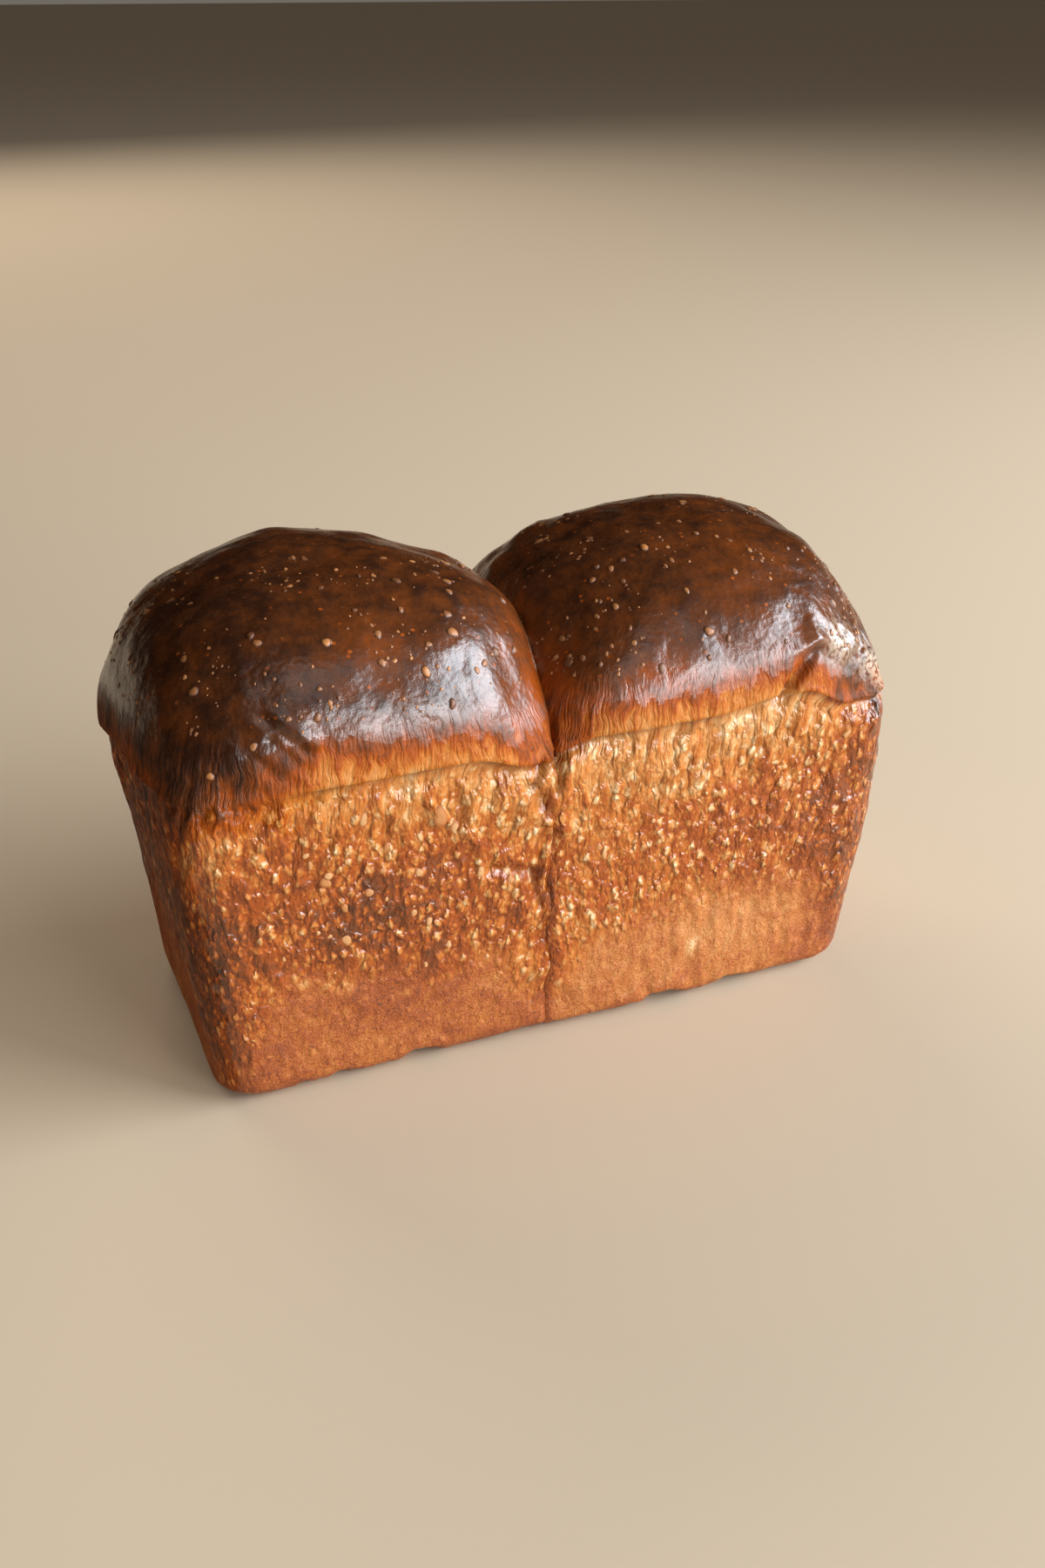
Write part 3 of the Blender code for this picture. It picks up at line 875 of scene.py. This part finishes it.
def build_lobe(lobe, swells, lumps):
    """One lobe's points, quads, smooth normals, shares and pattern coordinates, before centring."""
    points, faces, box = lobe_mesh(lobe, swells, lumps)
    smooth = points.copy()
    normals = vertex_normals(points, faces)
    run, climb = flow_of(points, lobe, box)
    height, painted_shade, over = relief(points, lobe, run, climb)
    shares = paint(points, lobe, over, painted_shade, normals)
    underside = ease(-0.5, -0.95, normals[:, 2])
    past_seam = np.maximum(SEAM_X * lobe["out"] - points[:, 0] * lobe["out"], 0.0)
    points = points + normals * (height * (1 - underside))[:, None]
    bite = notch(points)
    # Painted shade in the bites out of the base's edge.
    shares["painted_shade"] = np.maximum(shares["painted_shade"], 0.9 * ease(0.5, 1.6, bite))
    shares["torn"] = np.maximum(shares["torn"], 0.5 * ease(0.4, 0.7, bite) * ease(1.3, 0.8, bite))

    wave = SEAM_WAVE * stripes(points[:, 2], 9.0, 42)
    points[:, 0] += wave * ease(12.0, 2.0, np.abs(points[:, 0] - SEAM_X)) * ease(4.0, 20.0, points[:, 2])
    in_x = -np.sign(points[:, 0]) * ease(84.0, 90.0, np.abs(points[:, 0]))
    in_y = -np.sign(points[:, 1]) * ease(34.0, 39.0, np.abs(points[:, 1]))
    points = points + np.stack([in_x, in_y, np.full(len(points), 0.8)], axis=1) * bite[:, None]
    arch = BASE_ARCH * ease(0.0, 12.0, WIDTH / 2 - 8 - np.abs(points[:, 1]))
    arch = arch * (0.5 + 0.5 * noise(points, 12.0, 41))
    points[:, 2] += underside * (arch + 0.4 * past_seam)
    points[:, 2] = np.maximum(points[:, 2], 0.0)
    flow = np.stack([run, climb, np.full(len(run), lobe["out"] * LOBE_APART)], axis=1)
    return SimpleNamespace(
        lobe=lobe, points=points, faces=faces, normals=normals, shares=shares, flow=flow, place=smooth
    )


# Blisters that stand out in the photograph: place by X and Y on a dome, and radius.
MAIN_BLISTERS = [
    (39.9, -44.9, 1.9),
    (20.4, -18.5, 1.1),
    (23.6, -21.8, 1.2),
    (27.0, -20.8, 1.1),
    (17.5, -22.1, 1.2),
    (24.2, -27.2, 1.0),
    (38.4, -25.7, 1.1),
    (53.9, -33.2, 1.2),
    (38.5, -35.8, 1.0),
    (44.1, -7.4, 1.0),
    (-34.9, -22.5, 1.4),
    (-21.9, -21.9, 1.5),
    (-23.4, -27.0, 1.4),
    (-26.8, -38.8, 1.9),
    (-26.5, -34.6, 1.5),
    (-57.3, -38.6, 1.4),
    (-46.3, -43.8, 1.3),
    (-36.0, -45.9, 1.5),
    (-5.7, -18.5, 1.3),
    (-9.3, -33.9, 1.4),
    (-73.9, -32.1, 1.3),
    (-89.0, -26.6, 1.3),
    (-88.4, -34.8, 1.5),
    (-79.1, -47.8, 1.2),
    (-89.3, -45.9, 1.3),
]

# Tan bubbles that the tin pressed flat on the shown face: X, Z, half width and half height.
PRESSED_BUBBLES = [
    (-34.6, 77.1, 2.0, 2.9),
    (-63.9, 64.8, 1.6, 1.8),
    (-48.2, 70.0, 1.3, 1.6),
    (-49.5, 64.0, 1.0, 1.2),
    (-59.8, 56.1, 1.1, 1.3),
    (-68.6, 73.0, 1.0, 1.1),
    (-40.4, 61.8, 1.2, 1.5),
    (-24.0, 58.0, 1.2, 2.2),
    (-53.0, 58.5, 1.3, 1.4),
    (11.0, 55.0, 0.9, 1.6),
    (14.5, 60.0, 0.8, 1.3),
]


# How many more blisters a dome and a wall get, and how far a pressed bubble stands out.
DOME_BLISTERS = 420
WALL_BUBBLES = 45
BUBBLE_RISE = 0.16
BLISTER_SIDES = 12
BLISTER_RINGS = 5
BLISTER_SEED = 7
FAR = 99.0


class Blisters:
    """The points and triangles of many small domes, with what their colours need."""

    def __init__(self, rng):
        self.rng = rng
        self.angle = np.linspace(0, 2 * np.pi, BLISTER_SIDES, endpoint=False)
        self.points, self.faces = [], []
        self.cap, self.tone, self.light = [], [], []

    def add(self, centre, normal, wide, tall, rise, flatness, tone, light):
        """One blister, tall up the crust and wide across it; tone and light steer its colour."""
        along = np.array([0.0, 0.0, 1.0]) - normal * normal[2]
        along = along / max(np.linalg.norm(along), 1e-6)
        across = np.cross(normal, along)
        first, second = self.rng.uniform(0, 2 * np.pi, 2)
        uneven = 1 + 0.12 * np.sin(2 * self.angle + first) + 0.08 * np.sin(3 * self.angle + second)
        reach_across = (np.cos(self.angle) * uneven)[:, None] * across * wide
        reach_along = (np.sin(self.angle) * uneven)[:, None] * along * tall
        start = len(self.points)
        for radius in np.linspace(1.0, 0.0, BLISTER_RINGS + 1)[:-1]:
            lift = rise * (1 - radius ** flatness) - 0.12 * radius ** 4
            self.points.extend(centre + normal * lift + radius * (reach_across + reach_along))
            self.cap.extend([1 - radius] * BLISTER_SIDES)
        self.points.append(centre + normal * rise)
        self.cap.append(1.0)
        top = len(self.points) - 1
        for i in range(BLISTER_SIDES):
            j = (i + 1) % BLISTER_SIDES
            for low in range(start, top - BLISTER_SIDES, BLISTER_SIDES):
                high = low + BLISTER_SIDES
                self.faces += [(low + i, low + j, high + j), (low + i, high + j, high + i)]
            self.faces.append((top - BLISTER_SIDES + i, top - BLISTER_SIDES + j, top))
        count = len(self.points) - start
        self.tone.extend([tone] * count)
        self.light.extend([light] * count)


def raised_blisters(blisters, part, normals):
    """Round blisters on a dome, in patches, and the main ones of the photograph."""
    rng, place, over = blisters.rng, part.place, part.shares["over"]
    cluster = noise(place, 15.0, 51) + 0.6 * noise(place, 7.0, 52)
    crown = (over > 15.0) & (np.abs(place[:, 0] - SEAM_X) > 4.0)
    chance = np.where(crown, np.clip(0.35 + cluster, 0.02, 1.0) ** 2, 0.0)
    picks = rng.choice(len(place), DOME_BLISTERS, replace=False, p=chance / chance.sum())
    chosen = [(i, float(np.clip(rng.lognormal(-0.80, 0.5), 0.22, 1.3))) for i in picks]
    for x, y, radius in MAIN_BLISTERS:
        if (x - SEAM_X) * part.lobe["out"] > 0:
            gap = np.hypot(place[:, 0] - x, place[:, 1] - y) + np.where(over > 6, 0, FAR)
            chosen.append((int(np.argmin(gap)), 0.85 * radius))
    for i, radius in chosen:
        tall = radius * rng.uniform(0.9, 1.35)
        tone = float(np.clip(rng.normal(0.42, 0.30), 0.0, 1.0))
        rise = radius * rng.uniform(0.25, 0.45)
        blisters.add(part.points[i], normals[i], radius, tall, rise, 2.6, tone, 0.0)


def pressed_bubbles(blisters, part, normals):
    """Flat bubbles that the tin pressed on the walls, and the main ones of the photograph."""
    rng, place = blisters.rng, part.place
    wall = (part.shares["over"] < -6.0) & (place[:, 2] > 30.0) & (np.abs(normals[:, 2]) < 0.3)
    wall &= (np.abs(place[:, 0] - SEAM_X) > 5.0) & (np.abs(place[:, 0]) < 86.0)
    chance = np.where(wall, np.clip(0.2 + noise(place, 18.0, 53), 0.02, 1.0), 0.0)
    chosen = []
    for i in rng.choice(len(place), WALL_BUBBLES, replace=False, p=chance / chance.sum()):
        wide = float(np.clip(rng.lognormal(-0.45, 0.35), 0.4, 1.4))
        chosen.append((i, wide, wide * rng.uniform(1.0, 1.7)))
    for x, z, wide, tall in PRESSED_BUBBLES:
        if (x - SEAM_X) * part.lobe["out"] > 0:
            gap = np.hypot(place[:, 0] - x, place[:, 2] - z) + np.where(place[:, 1] < -40, 0, FAR)
            chosen.append((int(np.argmin(gap)), wide, tall))
    for i, wide, tall in chosen:
        tone = float(rng.uniform(0.0, 0.9))
        blisters.add(part.points[i], part.normals[i], wide, tall, BUBBLE_RISE, 3.0, tone, 1.0)


def dull_faces(part):
    """Which faces are dull: the golden strip over the rim and the loaf's left end wall."""
    over, x = part.shares["over"], part.place[:, 0]
    left_end = (-x - 0.08 * part.place[:, 2] > 89.0 + 1.5 * noise(part.place, 3.0, 45)) & (over < 1.0)
    top = 8.5 + 3.0 * stripes(part.flow[:, 0], 2.3, 46, part.flow[:, 1] / 5.0)
    top = top + 5.0 * ease(-35.0, -66.0, x)
    below = 0.2 + ease(-52.0, -72.0, x) * (7.0 + 5.0 * noise(part.place, 3.0, 47))
    strip = (over > -below) & (over < top)
    return (strip | left_end)[part.faces].mean(axis=1) > 0.5


def build_loaf():
    """The dressed loaf: two lobes and their blisters, centred in plan."""
    crusts = [crust_material("loaf_crust", 0.50, 0.14), crust_material("loaf_crust_dull", 0.14, 0.0)]
    left = build_lobe(LEFT, LEFT_SWELLS, LEFT_LUMPS)
    right = build_lobe(RIGHT, RIGHT_SWELLS, RIGHT_LUMPS)
    both = np.concatenate([left.place, right.place])
    shift = -(both.min(axis=0) + both.max(axis=0)) / 2
    shift[2] = 0.0
    blisters = Blisters(np.random.default_rng(BLISTER_SEED))
    for name, part in (("loaf_left_lobe", left), ("loaf_right_lobe", right)):
        vectors = dict(flow=part.flow, place=part.place)
        make_piece(name, part.points + shift, part.faces, crusts, part.shares, vectors, dull_faces(part))
        normals = vertex_normals(part.points, part.faces)
        raised_blisters(blisters, part, normals)
        pressed_bubbles(blisters, part, normals)
    points = np.array(blisters.points)
    shares = dict(cap=np.array(blisters.cap), tone=np.array(blisters.tone), light=np.array(blisters.light))
    faces = np.array(blisters.faces)
    make_piece("loaf_blisters", points + shift, faces, [blister_material()], shares, dict(place=points))


# The floor, in metres, and the lamps: name, azimuth and elevation, distance, size, power, colour
# and whether the crust mirrors it.
FLOOR_REACH = 60.0
FLOOR_LEVEL = -0.0003
LAMP_AIM = Vector((0.0, 0.0, 0.06))
LAMPS = [
    ("window", (62.0, 22.0), 1.8, (1.6, 0.85), 76.0, (0.84, 0.92, 1.0), True),
    ("window_near", (22.0, 9.0), 1.8, (0.8, 0.46), 25.0, (0.92, 0.96, 1.0), True),
    ("front", (-6.0, 52.0), 2.4, (1.2, 1.0), 6.0, (1.0, 0.97, 0.93), True),
    ("back", (190.0, 30.0), 2.6, (1.8, 1.0), 34.0, (1.0, 0.94, 0.86), False),
]
WORLD_COLOUR = rgb(1.0, 0.90, 0.78)
WORLD_STRENGTH = 0.16


def toward(azimuth, elevation):
    """Unit direction from the loaf; azimuth 0 is straight in front and 90 at its right end."""
    level = np.cos(elevation)
    return np.array([np.sin(azimuth) * level, -np.cos(azimuth) * level, np.sin(elevation)])


def floor():
    """A plain pale floor."""
    mesh = bpy.data.meshes.new("floor")
    corners = [(-1, -1), (1, -1), (1, 1), (-1, 1)]
    points = [(x * FLOOR_REACH, y * FLOOR_REACH, FLOOR_LEVEL) for x, y in corners]
    mesh.from_pydata(points, [], [(0, 1, 2, 3)])
    mesh.materials.append(floor_material())
    item = bpy.data.objects.new("floor", mesh)
    bpy.context.scene.collection.objects.link(item)


def light():
    """Window light from the right, a weak fill from above, one from behind, and a dim warm world."""
    for name, angles, distance, size, power, colour, mirrored in LAMPS:
        back = Vector(toward(*np.radians(angles)))
        data = bpy.data.lights.new(name, "AREA")
        data.shape = "RECTANGLE"
        data.size, data.size_y = size
        data.energy = power
        data.color = colour
        item = bpy.data.objects.new(name, data)
        item.location = LAMP_AIM + back * distance
        item.rotation_mode = "QUATERNION"
        item.rotation_quaternion = back.to_track_quat("Z", "Y")
        item.visible_glossy = mirrored
        bpy.context.scene.collection.objects.link(item)
    world = bpy.data.worlds.new("studio")
    world.use_nodes = True
    background = world.node_tree.nodes["Background"]
    background.inputs["Color"].default_value = WORLD_COLOUR
    background.inputs["Strength"].default_value = WORLD_STRENGTH
    world.cycles_visibility.glossy = False
    bpy.context.scene.world = world
    bpy.context.scene.view_settings.view_transform = "Standard"


def camera():
    """The photograph's camera."""
    a, e, r = np.radians([CAMERA_YAW, CAMERA_PITCH, CAMERA_ROLL])
    back = toward(a, e)
    flat = np.array([np.cos(a), np.sin(a), 0.0])
    up = np.cross(back, flat)
    right = np.cos(r) * flat + np.sin(r) * up
    top = -np.sin(r) * flat + np.cos(r) * up
    place = np.array([CENTRE_SHIFT, 0.0, CAMERA_AIM[2]]) + right * CAMERA_AIM[0] + top * CAMERA_AIM[1]
    place = place + back * CAMERA_DISTANCE
    data = bpy.data.cameras.new("camera")
    data.sensor_width = SENSOR_MM
    data.lens = FOCAL_PIXELS * SENSOR_MM / FRAME_PIXELS
    data.clip_start = 0.01
    item = bpy.data.objects.new("camera", data)
    turn = Matrix((right, top, back)).transposed().to_4x4()
    item.matrix_world = Matrix.Translation(Vector(place) * MM) @ turn
    bpy.context.scene.collection.objects.link(item)
    bpy.context.scene.camera = item


build_loaf()
floor()
light()
camera()
bpy.context.view_layer.update()
